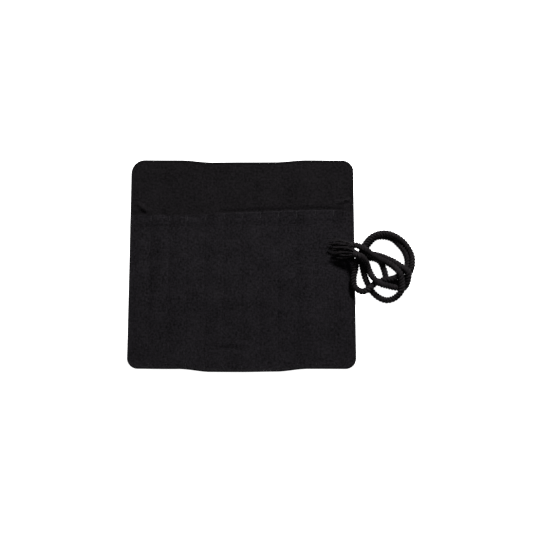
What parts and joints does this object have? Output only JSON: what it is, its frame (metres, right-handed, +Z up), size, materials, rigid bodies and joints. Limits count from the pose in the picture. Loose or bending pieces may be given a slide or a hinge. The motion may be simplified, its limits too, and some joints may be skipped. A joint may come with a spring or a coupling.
{
  "type": "brush roll case",
  "caption": "Flat fabric roll-up case for brushes, with a row of narrow stitched pockets under a fold-over flap and a cord tie at one side for closing the rolled case.",
  "frame": {"origin": "centre of the open case's footprint, on the table under the outer canvas", "axes": "+X from the plain side to the side with the tie cord, +Y from the closed bottoms of the pockets towards their mouths and the flap, +Z up off the table"},
  "size_m": [0.3031, 0.225, 0.0262],
  "materials": {
    "outer_canvas": "matte black cotton canvas",
    "lining_canvas": "matte black cotton canvas, inner face",
    "pocket_canvas": "matte black cotton canvas, folded hem at the mouth",
    "tie_cord": "twisted black cotton cord, frayed ends"
  },
  "bodies": {
    "tie_end": {"outer_canvas_tie_end": "outer_canvas", "lining_tie_end": "lining_canvas", "pocket_front_11": "pocket_canvas", "pocket_front_12": "pocket_canvas", "tie_cord_upper": "tie_cord", "tie_cord_lower": "tie_cord", "tie_tuft_upper": "tie_cord", "tie_tuft_lower": "tie_cord"},
    "panel_01": {"outer_canvas_01": "outer_canvas", "lining_01": "lining_canvas", "pocket_front_01": "pocket_canvas"},
    "panel_02": {"outer_canvas_02": "outer_canvas", "lining_02": "lining_canvas", "pocket_front_02": "pocket_canvas"},
    "panel_03": {"outer_canvas_03": "outer_canvas", "lining_03": "lining_canvas", "pocket_front_03": "pocket_canvas"},
    "panel_04": {"outer_canvas_04": "outer_canvas", "lining_04": "lining_canvas", "pocket_front_04": "pocket_canvas"},
    "panel_05": {"outer_canvas_05": "outer_canvas", "lining_05": "lining_canvas", "pocket_front_05": "pocket_canvas"},
    "panel_06": {"outer_canvas_06": "outer_canvas", "lining_06": "lining_canvas", "pocket_front_06": "pocket_canvas"},
    "panel_07": {"outer_canvas_07": "outer_canvas", "lining_07": "lining_canvas", "pocket_front_07": "pocket_canvas"},
    "panel_08": {"outer_canvas_08": "outer_canvas", "lining_08": "lining_canvas", "pocket_front_08": "pocket_canvas"},
    "panel_09": {"outer_canvas_09": "outer_canvas", "lining_09": "lining_canvas", "pocket_front_09": "pocket_canvas"},
    "panel_10": {"outer_canvas_10": "outer_canvas", "lining_10": "lining_canvas", "pocket_front_10": "pocket_canvas"},
    "flap_strip_01": {"flap_01": "lining_canvas"},
    "flap_strip_02": {"flap_02": "lining_canvas"},
    "flap_strip_03": {"flap_03": "lining_canvas"},
    "flap_strip_04": {"flap_04": "lining_canvas"},
    "flap_strip_05": {"flap_05": "lining_canvas"},
    "flap_strip_06": {"flap_06": "lining_canvas"},
    "flap_strip_07": {"flap_07": "lining_canvas"},
    "flap_strip_08": {"flap_08": "lining_canvas"},
    "flap_strip_09": {"flap_09": "lining_canvas"},
    "flap_strip_10": {"flap_10": "lining_canvas"},
    "flap_strip_tie_end": {"flap_tie_end": "lining_canvas"}
  },
  "joints": [
    {"name": "roll_10", "type": "hinge", "parent": "tie_end", "child": "panel_10", "pos_m": [0.078, 0, 0.0017], "axis": [0, 1, 0], "range_deg": [0, 10.8]},
    {"name": "roll_09", "type": "hinge", "parent": "panel_10", "child": "panel_09", "pos_m": [0.0585, 0, 0.0017], "axis": [0, 1, 0], "range_deg": [0, 36]},
    {"name": "roll_08", "type": "hinge", "parent": "panel_09", "child": "panel_08", "pos_m": [0.039, 0, 0.0017], "axis": [0, 1, 0], "range_deg": [0, 32.4]},
    {"name": "roll_07", "type": "hinge", "parent": "panel_08", "child": "panel_07", "pos_m": [0.0195, 0, 0.0017], "axis": [0, 1, 0], "range_deg": [0, 32.4]},
    {"name": "roll_06", "type": "hinge", "parent": "panel_07", "child": "panel_06", "pos_m": [0, 0, 0.0017], "axis": [0, 1, 0], "range_deg": [0, 32.4]},
    {"name": "roll_05", "type": "hinge", "parent": "panel_06", "child": "panel_05", "pos_m": [-0.0195, 0, 0.0017], "axis": [0, 1, 0], "range_deg": [0, 39.6]},
    {"name": "roll_04", "type": "hinge", "parent": "panel_05", "child": "panel_04", "pos_m": [-0.039, 0, 0.0017], "axis": [0, 1, 0], "range_deg": [0, 43.2]},
    {"name": "roll_03", "type": "hinge", "parent": "panel_04", "child": "panel_03", "pos_m": [-0.0585, 0, 0.0017], "axis": [0, 1, 0], "range_deg": [0, 43.2]},
    {"name": "roll_02", "type": "hinge", "parent": "panel_03", "child": "panel_02", "pos_m": [-0.078, 0, 0.0017], "axis": [0, 1, 0], "range_deg": [0, 45]},
    {"name": "roll_01", "type": "hinge", "parent": "panel_02", "child": "panel_01", "pos_m": [-0.0975, 0, 0.0017], "axis": [0, 1, 0], "range_deg": [0, 45]},
    {"name": "flap_fold_tie_end", "type": "hinge", "parent": "tie_end", "child": "flap_strip_tie_end", "pos_m": [0.099, 0.0815, 0.0017], "axis": [1, 0, 0], "range_deg": [0, 165]},
    {"name": "flap_fold_01", "type": "hinge", "parent": "panel_01", "child": "flap_strip_01", "pos_m": [-0.10875, 0.0815, 0.0017], "axis": [1, 0, 0], "range_deg": [0, 165]},
    {"name": "flap_fold_02", "type": "hinge", "parent": "panel_02", "child": "flap_strip_02", "pos_m": [-0.08775, 0.0815, 0.0017], "axis": [1, 0, 0], "range_deg": [0, 165]},
    {"name": "flap_fold_03", "type": "hinge", "parent": "panel_03", "child": "flap_strip_03", "pos_m": [-0.06825, 0.0815, 0.0017], "axis": [1, 0, 0], "range_deg": [0, 165]},
    {"name": "flap_fold_04", "type": "hinge", "parent": "panel_04", "child": "flap_strip_04", "pos_m": [-0.04875, 0.0815, 0.0017], "axis": [1, 0, 0], "range_deg": [0, 165]},
    {"name": "flap_fold_05", "type": "hinge", "parent": "panel_05", "child": "flap_strip_05", "pos_m": [-0.02925, 0.0815, 0.0017], "axis": [1, 0, 0], "range_deg": [0, 165]},
    {"name": "flap_fold_06", "type": "hinge", "parent": "panel_06", "child": "flap_strip_06", "pos_m": [-0.00975, 0.0815, 0.0017], "axis": [1, 0, 0], "range_deg": [0, 165]},
    {"name": "flap_fold_07", "type": "hinge", "parent": "panel_07", "child": "flap_strip_07", "pos_m": [0.00975, 0.0815, 0.0017], "axis": [1, 0, 0], "range_deg": [0, 165]},
    {"name": "flap_fold_08", "type": "hinge", "parent": "panel_08", "child": "flap_strip_08", "pos_m": [0.02925, 0.0815, 0.0017], "axis": [1, 0, 0], "range_deg": [0, 165]},
    {"name": "flap_fold_09", "type": "hinge", "parent": "panel_09", "child": "flap_strip_09", "pos_m": [0.04875, 0.0815, 0.0017], "axis": [1, 0, 0], "range_deg": [0, 165]},
    {"name": "flap_fold_10", "type": "hinge", "parent": "panel_10", "child": "flap_strip_10", "pos_m": [0.06825, 0.0815, 0.0017], "axis": [1, 0, 0], "range_deg": [0, 165]}
  ],
  "couplings": [
    {"joint": "roll_09", "follows": "roll_10", "ratio": 3.3333},
    {"joint": "roll_08", "follows": "roll_10", "ratio": 3},
    {"joint": "roll_07", "follows": "roll_10", "ratio": 3},
    {"joint": "roll_06", "follows": "roll_10", "ratio": 3},
    {"joint": "roll_05", "follows": "roll_10", "ratio": 3.6667},
    {"joint": "roll_04", "follows": "roll_10", "ratio": 4},
    {"joint": "roll_03", "follows": "roll_10", "ratio": 4},
    {"joint": "roll_02", "follows": "roll_10", "ratio": 4.1667},
    {"joint": "roll_01", "follows": "roll_10", "ratio": 4.1667},
    {"joint": "flap_fold_01", "follows": "flap_fold_tie_end", "ratio": 1},
    {"joint": "flap_fold_02", "follows": "flap_fold_tie_end", "ratio": 1},
    {"joint": "flap_fold_03", "follows": "flap_fold_tie_end", "ratio": 1},
    {"joint": "flap_fold_04", "follows": "flap_fold_tie_end", "ratio": 1},
    {"joint": "flap_fold_05", "follows": "flap_fold_tie_end", "ratio": 1},
    {"joint": "flap_fold_06", "follows": "flap_fold_tie_end", "ratio": 1},
    {"joint": "flap_fold_07", "follows": "flap_fold_tie_end", "ratio": 1},
    {"joint": "flap_fold_08", "follows": "flap_fold_tie_end", "ratio": 1},
    {"joint": "flap_fold_09", "follows": "flap_fold_tie_end", "ratio": 1},
    {"joint": "flap_fold_10", "follows": "flap_fold_tie_end", "ratio": 1}
  ]
}
